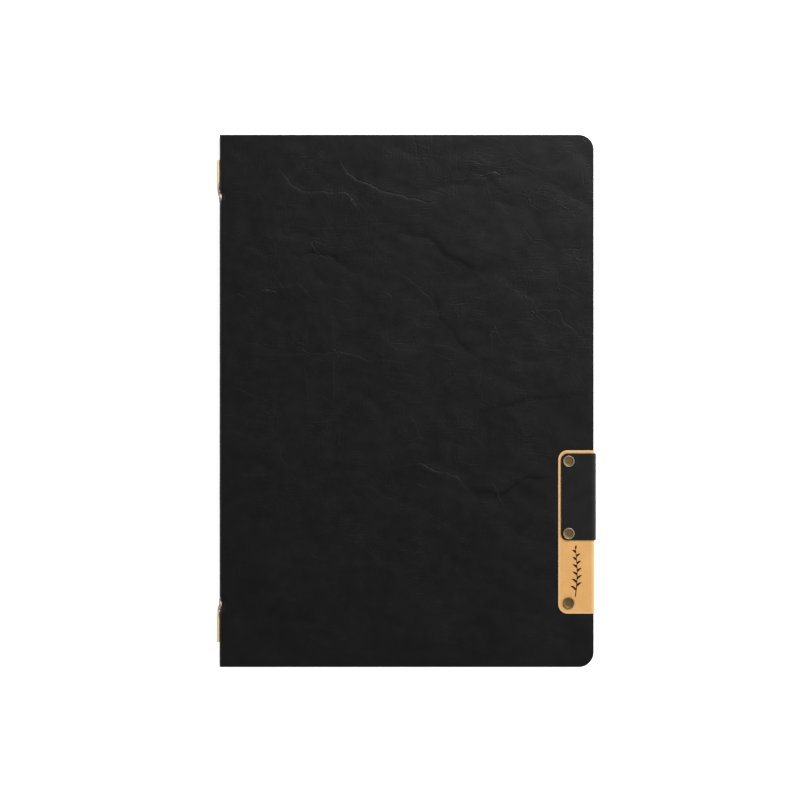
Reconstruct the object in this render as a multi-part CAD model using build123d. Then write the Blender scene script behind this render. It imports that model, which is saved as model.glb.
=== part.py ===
from build123d import *
from math import asin, degrees, pi
import os

os.makedirs("parts", exist_ok=True)

# A soft-bound leather cover for A4 sheets, closed and lying on its back.
# X runs from the spine to the fore-edge, Y up the page, Z from the back cover to the front cover.
# Everything is drawn with the spine's outer face at X = 0 and the back cover's outer face at
# Z = 0, and is then moved along X so that the origin is under the middle of the whole object.
# Millimetres throughout.

# Cover
cover_width = 225.0            # spine's outer face to the fore-edge
cover_height = 320.0
corner_radius = 9.0            # the two fore-edge corners; the spine's corners are square
skin = 0.9                     # outer leather
board = 1.0                    # stiff board inside each panel
lining = 0.4                   # inner facing
stiffener = 0.5                # strip inside the spine
fold_radius = 1.8              # outside of the two folds between the panels and the spine
joint_clearance = 0.15         # between the eyelets' rolled ends and the lining up the board's edge

# Paper: folded sheets nested one in another, each with a left and a right leaf
leaf_width = 210.0
leaf_height = 297.0
leaf_thickness = 0.25
leaf_gap = 0.05                # between neighbouring leaves
leaf_clearance = 0.1           # between the paper and the linings, and between the two stacks
gutter_clearance = 0.15        # keeps the opened sheets off the linings
sheet_names = ["outer", "middle", "inner"]

# Label wrapped round the fore-edge, and the patch wrapped over its upper half
label_leather = 0.6
label_width = 21.4
label_length = 98.2
label_corner_radius = 5.6
label_drop = 29.7              # from the middle of the cover down to the label's top
patch_leather = 0.8
patch_width = 19.7
patch_length = 52.2
patch_corner_radius = 3.9
patch_inset = 1.8              # from the label's top down to the patch's top
wrap_bend_radius = 0.5         # outside of the label's two bends along the fore-edge

# Rivets: a dished cap with a post, and a flat cap on the inside
rivet_from_edge = 15.1
rivet_below_patch_top = 4.8
rivet_above_patch_foot = 4.0
rivet_above_label_foot = 6.5
rivet_cap_diameter = 7.0
rivet_cap_height = 1.0
rivet_rim = 1.1                # width of the raised rim
rivet_dish = 0.5               # depth of the middle below the rim
rivet_post_diameter = 2.8
rivet_back_height = 0.6
rivet_clearance = 0.3          # between the rivets' backs and the paper
post_clearance = 0.1           # round a post, in the layers that it passes through
press_clearance = 0.02         # round a post, in its back cap

# Binding: two eyelets in the spine, and one strap laced through both
eyelet_from_end = 37.5         # from the end of the cover to an eyelet's centre
eyelet_bore = 2.8
eyelet_wall = 0.3
eyelet_flange_diameter = 7.0
eyelet_flange = 0.3
eyelet_curl = 0.25             # height of the rolled end on the washer
eyelet_curl_width = 0.5
washer_diameter = 5.2
washer = 0.2
hole_clearance = 0.05          # round an eyelet's barrel
tail_width = 6.4
tail_thickness = 1.75
tail_from_end = 15.0           # from the end of the cover to the tail's square end
tail_corner_radius = 0.8
tail_dip = 11.0                # length over which a tail sinks towards its eyelet
neck_clearance = 0.2           # between the strap and the bore
lace_thickness = 1.6           # the inner run, measured along X
lace_clearance = 0.25          # between the inner run and the paper
punch_clearance = 0.8          # between the strap and the hole punched in the fold of each sheet

# Heights that follow from the layers
panel = skin + board + lining
stack = len(sheet_names) * leaf_thickness + (len(sheet_names) - 1) * leaf_gap
edge_build_up = label_leather + patch_leather + rivet_back_height
inside = 2 * (stack + leaf_clearance) + rivet_clearance + edge_build_up
closed = 2 * panel + inside
half_height = cover_height / 2
half_closed = closed / 2
overlap = 1.0                  # how far a cutting block runs past what it cuts

# The two folds. The skin's middle bends through a quarter circle, and the pivot is placed so that
# the skin keeps its length between the fold closed and the fold flat.
bend_radius = fold_radius - skin / 2
pivot_depth = skin / 2 + (1 - pi / 4) * bend_radius
fold_inner_radius = fold_radius - skin
spine_inner_face = skin + stiffener + lining
riser_start = spine_inner_face + washer + eyelet_curl + joint_clearance
board_start = riser_start + lining
spine_low = fold_radius
spine_high = closed - fold_radius

# Binding
eyelet_y = half_height - eyelet_from_end
tail_end_y = half_height - tail_from_end
barrel_radius = eyelet_bore / 2 + eyelet_wall
neck_radius = eyelet_bore / 2 - neck_clearance
first_gutter = panel + gutter_clearance
leaf_pitch = leaf_thickness + leaf_gap
lace_start = first_gutter + len(sheet_names) * leaf_pitch + leaf_gap
lace_low = panel + leaf_clearance + stack + lace_clearance
leaf_drop = inside - 3 * leaf_clearance - 2 * stack
leaf_slope = degrees(asin(leaf_drop / leaf_width))

# Label, patch and rivets
label_top = -label_drop
label_foot = label_top - label_length
patch_top = label_top - patch_inset
patch_foot = patch_top - patch_length
rivet_x = cover_width - rivet_from_edge
rivet_places = {
    "upper": (patch_top - rivet_below_patch_top, label_leather + patch_leather),
    "middle": (patch_foot + rivet_above_patch_foot, label_leather + patch_leather),
    "lower": (label_foot + rivet_above_label_foot, label_leather),
}
origin_x = (cover_width + label_leather + patch_leather - tail_thickness) / 2


def block(x_low, x_high, y_low, y_high, z_low, z_high):
    """Box between two corners."""
    middle = ((x_low + x_high) / 2, (y_low + y_high) / 2, (z_low + z_high) / 2)
    return Pos(*middle) * Box(x_high - x_low, y_high - y_low, z_high - z_low)


def plate(x_low, x_high, y_low, y_high, z_low, z_high, left_radius=0.0, right_radius=0.0):
    """Flat plate with rounded corners on its left or its right side."""
    middle = ((x_low + x_high) / 2, (y_low + y_high) / 2, z_low)
    outline = Rectangle(x_high - x_low, y_high - y_low)
    if left_radius:
        outline = fillet(outline.vertices().group_by(Axis.X)[0], left_radius)
    if right_radius:
        outline = fillet(outline.vertices().group_by(Axis.X)[-1], right_radius)
    return Pos(*middle) * extrude(outline, z_high - z_low)


def post(radius, x, y, z_low, z_high):
    """Upright cylinder."""
    return Pos(x, y, (z_low + z_high) / 2) * Cylinder(radius, z_high - z_low)


def spine_rod(radius, y, x_low, x_high):
    """Cylinder along X, in the middle of the closed cover's thickness."""
    middle = ((x_low + x_high) / 2, y, half_closed)
    return Pos(*middle) * Rot(0, 90, 0) * Cylinder(radius, x_high - x_low)


def eyelet_holes(radius):
    """Two rods through the spine, one at each eyelet."""
    return [spine_rod(radius, y, -overlap, board_start) for y in (eyelet_y, -eyelet_y)]


def rivet_holes():
    """Rods through everything that the three rivets hold together."""
    radius = rivet_post_diameter / 2 + post_clearance
    low = closed - panel - edge_build_up - overlap
    high = closed + edge_build_up + overlap
    return [post(radius, rivet_x, y, low, high) for y, _ in rivet_places.values()]


def upside_down(shape):
    """The same shape for the front cover: mirrored in the middle of the closed thickness."""
    return mirror(shape, Plane.XY.offset(half_closed))


def panel_layer(x_low, z_low, z_high):
    """One layer of the back cover's panel."""
    return plate(
        x_low, cover_width, -half_height, half_height, z_low, z_high, right_radius=corner_radius
    )


def panel_lining():
    """Lining of the back panel: on the skin beside the fold, up the board's edge and over it."""
    on_skin = block(fold_radius, board_start, -half_height, half_height, skin, skin + lining)
    riser = block(riser_start, board_start, -half_height, half_height, skin, panel)
    over_board = panel_layer(riser_start, panel - lining, panel)
    return on_skin + riser + over_board


def fold_strip(outer_radius, inner_radius):
    """Quarter-round strip between the back panel and the spine."""
    corner = block(0, fold_radius, -half_height, half_height, 0, fold_radius)
    centre = Pos(fold_radius, 0, fold_radius) * Rot(90, 0, 0)
    tube = centre * Cylinder(outer_radius, cover_height)
    tube -= centre * Cylinder(inner_radius, cover_height + overlap)
    return tube & corner


def spine_layers():
    """Skin, stiffener and lining of the spine, each with the two eyelet holes."""
    holes = eyelet_holes(barrel_radius + hole_clearance)
    outside = block(0, skin, -half_height, half_height, spine_low, spine_high)
    core_low = spine_low + lining
    core_high = spine_high - lining
    core = block(skin, skin + stiffener, -half_height, half_height, core_low, core_high)
    facing = block(skin, spine_inner_face, -half_height, half_height, spine_low, spine_high)
    facing -= core
    return outside - holes, core - holes, facing - holes


def eyelet(y):
    """Flange on the outside of the spine, barrel through it, and rolled end on the washer."""
    curl_start = spine_inner_face + washer
    flange = spine_rod(eyelet_flange_diameter / 2, y, -eyelet_flange, 0)
    barrel = spine_rod(barrel_radius, y, -eyelet_flange, curl_start)
    curl = spine_rod(barrel_radius + eyelet_curl_width, y, curl_start, curl_start + eyelet_curl)
    return flange + barrel + curl - spine_rod(eyelet_bore / 2, y, -overlap, board_start)


def eyelet_washer(y):
    """Washer between the spine's lining and the eyelet's rolled end."""
    outside = spine_rod(washer_diameter / 2, y, spine_inner_face, spine_inner_face + washer)
    return outside - spine_rod(barrel_radius + hole_clearance, y, 0, board_start)


def strap_tail():
    """Tail at the top of the spine: square outer end, sinking and narrowing to its eyelet."""
    inner_y = eyelet_y - neck_radius
    flange_y = eyelet_y + eyelet_flange_diameter / 2
    dip_y = eyelet_y + tail_dip
    sunk = eyelet_flange + (tail_thickness - eyelet_flange) / 3
    top_curve = Spline(
        (-tail_thickness, dip_y), (-sunk, inner_y), tangents=[(0, -1), (0, -1)]
    )
    rest = Polyline(
        (-sunk, inner_y),
        (-eyelet_flange, inner_y),
        (-eyelet_flange, flange_y),
        (0, flange_y + eyelet_flange),
        (0, tail_end_y),
        (-tail_thickness, tail_end_y),
        (-tail_thickness, dip_y),
    )
    side = extrude(make_face(top_curve + rest), tail_width / 2, both=True)
    half_width = tail_width / 2
    left = Spline(
        (dip_y, half_width), (inner_y, neck_radius), tangents=[(-1, 0), (-1, 0)]
    )
    right = mirror(left, Plane.XZ)
    ends = [
        Line((inner_y, neck_radius), (inner_y, -neck_radius)),
        Line((dip_y, -half_width), (tail_end_y, -half_width)),
        Line((tail_end_y, -half_width), (tail_end_y, half_width)),
        Line((tail_end_y, half_width), (dip_y, half_width)),
    ]
    outline = make_face([left, right] + ends)
    outline = fillet(outline.vertices().group_by(Axis.X)[-1], tail_corner_radius)
    on_spine = Plane((0, 0, 0), x_dir=(0, 1, 0), z_dir=(1, 0, 0))
    plan = extrude(on_spine * outline, tail_thickness, both=True)
    return Pos(0, 0, half_closed) * (side & plan)


def binding_strap():
    """One strap: a tail outside at each end, and a narrow run inside the folded sheets."""
    tail = strap_tail()
    end_y = eyelet_y + neck_radius
    run = block(
        lace_start, lace_start + lace_thickness, -end_y, end_y, lace_low, closed - lace_low
    )
    neck_start = -eyelet_flange - (tail_thickness - eyelet_flange) / 4
    neck_end = lace_start + lace_thickness / 2
    necks = [spine_rod(neck_radius, y, neck_start, neck_end) for y in (eyelet_y, -eyelet_y)]
    return run + necks + tail + mirror(tail, Plane.XZ)


def around_edge(width, top, length, proud, corner, bend):
    """Solid block round the fore-edge of the front panel, standing proud of it on three sides."""
    solid = plate(
        cover_width - width,
        cover_width + proud,
        top - length,
        top,
        closed - panel - proud,
        closed + proud,
        left_radius=corner,
    )
    bends = solid.edges().filter_by(Axis.Y).group_by(Axis.X)[-1]
    return fillet(bends, bend)


def edge_leathers():
    """The label and the patch, each bent round the fore-edge and pierced for the rivets."""
    whole_panel = block(0, cover_width, -half_height, half_height, closed - panel, closed)
    label = around_edge(
        label_width, label_top, label_length, label_leather, label_corner_radius, wrap_bend_radius
    )
    patch = around_edge(
        patch_width,
        patch_top,
        patch_length,
        label_leather + patch_leather,
        patch_corner_radius,
        wrap_bend_radius + patch_leather,
    )
    return label - whole_panel - rivet_holes(), patch - label - whole_panel - rivet_holes()


def rivet_cap(y, seat):
    """Cap with a raised rim and a dished middle, and its post down to the back cap."""
    low = closed + seat
    radius = rivet_cap_diameter / 2
    cap = post(radius, rivet_x, y, low, low + rivet_cap_height)
    cap = fillet(cap.edges().group_by(Axis.Z)[-1], rivet_cap_height / 2)
    dish = Pos(rivet_x, y, low + rivet_cap_height) * Cylinder(radius - rivet_rim, 2 * rivet_dish)
    dish = fillet(dish.edges().group_by(Axis.Z)[0], rivet_dish / 2)
    end = closed - panel - seat - rivet_back_height
    return cap - dish + post(rivet_post_diameter / 2, rivet_x, y, end, low + rivet_dish)


def rivet_back(y, seat):
    """Flat cap pressed onto the end of the post, on the inside of the front cover."""
    high = closed - panel - seat
    low = high - rivet_back_height
    cap = post(rivet_cap_diameter / 2, rivet_x, y, low, high)
    return cap - post(rivet_post_diameter / 2 + press_clearance, rivet_x, y, low, high)


def leaf(sheet, side):
    """One leaf of a folded sheet, with half of each hole punched in its fold."""
    gutter = first_gutter + sheet * leaf_pitch
    lift = leaf_clearance + sheet * leaf_pitch
    low = panel + lift
    if side == "left":
        low = closed - panel - lift - leaf_thickness
    page = block(
        gutter, gutter + leaf_width, -leaf_height / 2, leaf_height / 2, low, low + leaf_thickness
    )
    radius = neck_radius + punch_clearance
    for y in (eyelet_y, -eyelet_y):
        page -= post(radius, gutter, y, low - overlap, low + overlap)
    if side == "left":
        hinge = Pos(gutter, 0, low + leaf_thickness)
        page = hinge * Rot(0, leaf_slope, 0) * hinge.inverse() * page
    return page


nodes = {}

# Back cover
nodes["back_skin"] = panel_layer(fold_radius, 0, skin)
nodes["back_board"] = panel_layer(board_start, skin, skin + board)
nodes["back_lining"] = panel_lining()

# Front cover
posts = rivet_holes()
for layer in ("skin", "board", "lining"):
    nodes[f"front_{layer}"] = upside_down(nodes[f"back_{layer}"]) - posts
nodes["edge_label"], nodes["edge_patch"] = edge_leathers()
for place, (rivet_y, rivet_seat) in rivet_places.items():
    nodes[f"rivet_{place}"] = rivet_cap(rivet_y, rivet_seat)
    nodes[f"rivet_back_{place}"] = rivet_back(rivet_y, rivet_seat)

# Spine
nodes["spine_skin"], nodes["spine_stiffener"], nodes["spine_lining"] = spine_layers()
nodes["back_fold"] = fold_strip(fold_radius, fold_inner_radius)
nodes["back_fold_lining"] = fold_strip(fold_inner_radius, fold_inner_radius - lining)
nodes["front_fold"] = upside_down(nodes["back_fold"])
nodes["front_fold_lining"] = upside_down(nodes["back_fold_lining"])
for end, end_y in (("top", eyelet_y), ("bottom", -eyelet_y)):
    nodes[f"eyelet_{end}"] = eyelet(end_y)
    nodes[f"eyelet_washer_{end}"] = eyelet_washer(end_y)
nodes["binding_strap"] = binding_strap()

# Paper
for sheet_number, sheet_name in enumerate(sheet_names):
    for leaf_side in ("left", "right"):
        nodes[f"{sheet_name}_sheet_{leaf_side}"] = leaf(sheet_number, leaf_side)

for name, shape in nodes.items():
    moved = Pos(-origin_x, 0, 0) * shape
    export_step(moved, f"parts/{name}.step")
print(f"{len(nodes)} nodes, {closed:.2f} mm thick when closed")
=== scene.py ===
import math
import bpy
import numpy as np
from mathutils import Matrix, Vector


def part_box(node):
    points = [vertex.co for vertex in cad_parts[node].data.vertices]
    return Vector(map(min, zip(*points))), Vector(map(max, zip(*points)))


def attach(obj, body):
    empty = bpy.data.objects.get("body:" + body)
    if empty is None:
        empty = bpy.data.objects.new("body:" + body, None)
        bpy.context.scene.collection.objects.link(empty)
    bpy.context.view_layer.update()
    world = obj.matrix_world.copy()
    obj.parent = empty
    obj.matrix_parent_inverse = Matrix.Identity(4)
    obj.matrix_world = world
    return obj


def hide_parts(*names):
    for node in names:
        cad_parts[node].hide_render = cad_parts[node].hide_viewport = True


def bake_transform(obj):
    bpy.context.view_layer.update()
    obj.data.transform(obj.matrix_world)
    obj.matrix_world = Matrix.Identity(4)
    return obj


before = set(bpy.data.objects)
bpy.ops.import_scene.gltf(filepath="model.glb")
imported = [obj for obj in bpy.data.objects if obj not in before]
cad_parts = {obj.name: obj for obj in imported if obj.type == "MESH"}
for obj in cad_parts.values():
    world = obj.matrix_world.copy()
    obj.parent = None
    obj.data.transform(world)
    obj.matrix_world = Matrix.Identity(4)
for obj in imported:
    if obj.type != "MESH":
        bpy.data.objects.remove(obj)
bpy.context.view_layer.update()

MM = 0.001

# ------------------------------------ sizes read from the frame

SKIN_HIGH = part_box("front_skin")[1]
SPINE_LOW, SPINE_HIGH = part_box("spine_skin")
LABEL_LOW, LABEL_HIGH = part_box("edge_label")
PATCH_LOW, PATCH_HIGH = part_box("edge_patch")
STRAP_LOW, STRAP_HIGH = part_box("binding_strap")
EYE_LOW, EYE_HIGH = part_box("eyelet_top")

SPINE_X = SPINE_LOW.x
FORE_X = SKIN_HIGH.x
COVER_X = (SPINE_X + FORE_X) / 2
TOP_Z = SKIN_HIGH.z
MID_Z = TOP_Z / 2
HALF_H = SKIN_HIGH.y
SKIN = SPINE_HIGH.x - SPINE_LOW.x
FOLD_R = SPINE_LOW.z
FOLD_INNER_R = FOLD_R - SKIN
EYE_Y = (EYE_LOW.y + EYE_HIGH.y) / 2

# Sizes that a node's box doesn't give
CORNER_R = 9.0 * MM
LABEL_CORNER_R = 5.6 * MM
PATCH_CORNER_R = 3.9 * MM
LINING = 0.4 * MM
EYELET_SEAT = 1.1 * MM      # how deep an eyelet presses the leather in
EYELET_REACH = 3.7 * MM     # how far along the spine, from the eyelet's middle, it does so
BACK_PRESS = 0.12 * MM      # how far the relief is pressed into the skin that lies on the table

# The unrolled skin: 0 in the middle of the spine, then half the spine, one fold and a panel
SPINE_HALF = MID_Z - FOLD_R
PANEL_START = SPINE_HALF + FOLD_R * math.pi / 2
PANEL_LENGTH = FORE_X - (SPINE_X + FOLD_R)
SKIN_LENGTH = PANEL_START + PANEL_LENGTH


# ------------------------------------ paths and sheets

class Path:
    """A line in a plane, made of straight runs and arcs, each starting where the last one ends.

    A run is its length. An arc is (radius, turn in degrees), and a turn to the left is positive.
    """

    def __init__(self, start, heading, *parts):
        x, z = start
        angle = math.radians(heading)
        self.parts = []
        self.length = 0.0
        for part in parts:
            if isinstance(part, tuple):
                radius, turn = part[0], math.radians(part[1])
                size = radius * abs(turn)
                way = math.copysign(1.0, turn)
            else:
                radius, turn, size, way = None, 0.0, part, 0.0
            self.parts.append((self.length, size, x, z, angle, radius, way))
            if radius is None:
                x += size * math.cos(angle)
                z += size * math.sin(angle)
            else:
                middle_x = x - way * radius * math.sin(angle)
                middle_z = z + way * radius * math.cos(angle)
                angle += turn
                x = middle_x + way * radius * math.sin(angle)
                z = middle_z - way * radius * math.cos(angle)
            self.length += size

    def at(self, s):
        """Places along the line and the normals to its left, as four arrays."""
        s = np.asarray(s, float)
        x, z, angle = np.zeros_like(s), np.zeros_like(s), np.zeros_like(s)
        for number, (begin, size, x0, z0, a0, radius, way) in enumerate(self.parts):
            here = s >= begin - 1e-12 if number else np.ones(s.shape, bool)
            t = s[here] - begin
            if radius is None:
                x[here] = x0 + t * math.cos(a0)
                z[here] = z0 + t * math.sin(a0)
                angle[here] = a0
            else:
                a = a0 + way * t / radius
                x[here] = x0 + way * radius * (np.sin(a) - math.sin(a0))
                z[here] = z0 - way * radius * (np.cos(a) - math.cos(a0))
                angle[here] = a
        return x, z, -np.sin(angle), np.cos(angle)


def spread(low, high, step):
    """Evenly spaced numbers from low to high, about step apart."""
    return np.linspace(low, high, max(2, int(round((high - low) / step)) + 1))


def rows_between(low, high, step, corner, bevel, extra=()):
    """Places of a sheet's rows: close together round its corners, with two more inside its edges."""
    turns = np.sin(np.linspace(0, math.pi / 2, 15)[:-1])
    ends = [spread(low + corner, high - corner, step)]
    if corner:
        ends += [high - corner + corner * turns, low + corner - corner * turns]
    ends += [[low, low + 0.3 * bevel, low + bevel, high - bevel, high - 0.3 * bevel, high]]
    ends += [np.asarray(extra, float)]
    rows = np.unique(np.round(np.concatenate(ends), 8))
    keep = np.concatenate([[True], np.diff(rows) > 0.04 * MM])
    keep[-1] = True
    return rows[keep]


def columns_along(*marks_and_steps, bevel_low=0.0, bevel_high=0.0):
    """Places of a sheet's columns: marks along its path, with a step between each two."""
    marks = marks_and_steps[::2]
    steps = marks_and_steps[1::2]
    found = [spread(a, b, step) for a, b, step in zip(marks, marks[1:], steps)]
    if bevel_low:
        found.append([marks[0] + 0.3 * bevel_low, marks[0] + bevel_low])
    if bevel_high:
        found.append([marks[-1] - 0.3 * bevel_high, marks[-1] - bevel_high])
    columns = np.unique(np.round(np.concatenate(found), 8))
    keep = np.concatenate([[True], np.diff(columns) > 0.02 * MM])
    keep[-1] = True
    return columns[keep]


def corner_inset(rows, low, high, radius):
    """How far a rounded corner draws each row's end in."""
    past = np.maximum(0, np.maximum(rows - (high - radius), (low + radius) - rows))
    return radius - np.sqrt(np.maximum(radius ** 2 - past ** 2, 0))


def stretched(columns, inset_low, inset_high, reach_low, reach_high):
    """Columns for every row, drawn in at their ends by the insets."""
    end = columns[-1]
    s = np.repeat(columns[None, :], len(inset_low), 0)
    low = inset_low[:, None]
    high = inset_high[:, None]
    near = s < reach_low
    s = np.where(near, low + s * (reach_low - low) / max(reach_low, 1e-9), s)
    near = s > end - reach_high
    return np.where(near, end - high - (end - s) * (reach_high - high) / max(reach_high, 1e-9), s)


def mesh_object(name, points, faces, material, smooth=True):
    """A linked mesh object of one material."""
    mesh = bpy.data.meshes.new(name)
    mesh.from_pydata(np.asarray(points).tolist(), [], faces)
    mesh.validate()
    mesh.polygons.foreach_set("use_smooth", [smooth] * len(mesh.polygons))
    mesh.materials.append(material)
    made = bpy.data.objects.new(name, mesh)
    bpy.context.scene.collection.objects.link(made)
    return made


def store(piece, name, values):
    """A float or vector for every point of a piece's mesh."""
    values = np.asarray(values, np.float32)
    kind = "FLOAT" if values.ndim == 1 else "FLOAT_VECTOR"
    attribute = piece.data.attributes.new(name, kind, "POINT")
    attribute.data.foreach_set("value" if kind == "FLOAT" else "vector", values.ravel())


def bent_sheet(
    name, path, side, thickness, material, rows, columns, bevel, inset_low=None, inset_high=None,
    reach_low=0.0, reach_high=0.0, seam_low=False, relief=None, coarse_from=None,
):
    """A closed sheet of leather, cloth or paper that follows a path in XZ and runs along Y.

    side is 1 where the sheet's face is on the path's left, and -1 where it is on its right.
    relief(u, y) gives the face's height, how worn it is with a painted highlight, and more values to
    store. The insets round the corners. seam_low leaves the edge at the path's start square, where
    another sheet carries on. coarse_from leaves the hidden back of the sheet plain from there on.
    """
    count_r, count_c = len(rows), len(columns)
    inset_low = np.zeros(count_r) if inset_low is None else inset_low
    inset_high = np.zeros(count_r) if inset_high is None else inset_high
    s = stretched(columns, inset_low, inset_high, reach_low, reach_high)
    y = np.repeat(rows[:, None], count_c, 1)
    from_low = np.full(s.shape, 1.0) if seam_low else s - inset_low[:, None]
    from_high = (columns[-1] - inset_high[:, None]) - s
    edge = np.maximum(np.minimum.reduce([from_low, from_high, y - rows[0], rows[-1] - y]), 0)
    drop = bevel - np.sqrt(bevel ** 2 - np.clip(bevel - edge, 0, bevel) ** 2)
    height, wear_and_highlight, lines = relief(s, y) if relief else (0 * s, 0 * s, {})
    x, z, nx, nz = path.at(s)
    out = side * (height - drop)
    face = np.stack([x + nx * out, y, z + nz * out], -1).reshape(-1, 3)
    deep = -side * (thickness - drop)
    back = np.stack([x + nx * deep, y, z + nz * deep], -1).reshape(-1, 3)

    last_r, last_c = count_r - 1, count_c - 1

    def number(row, column):
        return row * count_c + column

    def outline(column):
        """Numbers of the points round the part of the sheet that starts at a column."""
        points = [number(0, k) for k in range(column, count_c)]
        points += [number(k, last_c) for k in range(1, count_r)]
        points += [number(last_r, k) for k in range(last_c - 1, column - 1, -1)]
        return points + [number(k, column) for k in range(last_r - 1, 0, -1)]

    first = last_c if coarse_from is None else int(np.searchsorted(columns, coarse_from))
    r, c = np.meshgrid(np.arange(last_r), np.arange(last_c), indexing="ij")
    a = number(r, c).ravel()
    quads = np.stack([a, a + 1, a + 1 + count_c, a + count_c], 1)
    kept = np.zeros((count_r, count_c), bool)
    kept[:, : first + 1] = True
    kept[[0, -1], :] = True
    kept[:, -1] = True
    kept = kept.ravel()
    behind = np.full(count_r * count_c, -1)
    behind[kept] = count_r * count_c + np.arange(kept.sum())
    back_quads = behind[quads[c.ravel() < first]]
    faces = (quads[:, ::-1] if side > 0 else quads).tolist()
    faces += (back_quads if side > 0 else back_quads[:, ::-1]).tolist()
    if first < last_c:
        loop = [int(behind[k]) for k in outline(first)]
        loop = loop[:1] + loop[:0:-1]
        faces.append(loop[::-1] if side > 0 else loop)
    border = outline(0)
    for p, q in zip(border, border[1:] + border[:1]):
        strip = [p, q, int(behind[q]), int(behind[p])]
        faces.append(strip if side > 0 else strip[::-1])
    piece = mesh_object(name, np.concatenate([face, back[kept]]), faces, material)
    piece.data.polygons.foreach_set("use_smooth", [len(f) == 4 for f in faces])
    rest = np.stack([s, y, 0 * s], -1).reshape(-1, 3)
    store(piece, "rest", np.concatenate([rest, rest[kept] - [0, 0, thickness]]))
    for key, values in (("wear_and_highlight", wear_and_highlight), ("edge", edge)):
        store(piece, key, np.concatenate([values.ravel(), np.zeros(kept.sum())]))
    far = np.full((kept.sum(), 3), 5.0)
    for key, values in lines.items():
        store(piece, key, np.concatenate([values.reshape(-1, 3), far]))
    return piece


# ------------------------------------ crumpled leather

def smooth_noise(rng, shape, step, long_x, long_y, sharp=1.5):
    """Noise with zero mean and unit spread, with features of about the two lengths."""
    white = np.fft.rfft2(rng.standard_normal(shape))
    fy = np.fft.fftfreq(shape[0], step)[:, None]
    fx = np.fft.rfftfreq(shape[1], step)[None, :]
    radius = np.hypot(fx * long_x, fy * long_y)
    made = np.fft.irfft2(white * np.exp(-(radius ** sharp)), shape)
    made -= made.mean()
    return made / made.std()


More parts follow.
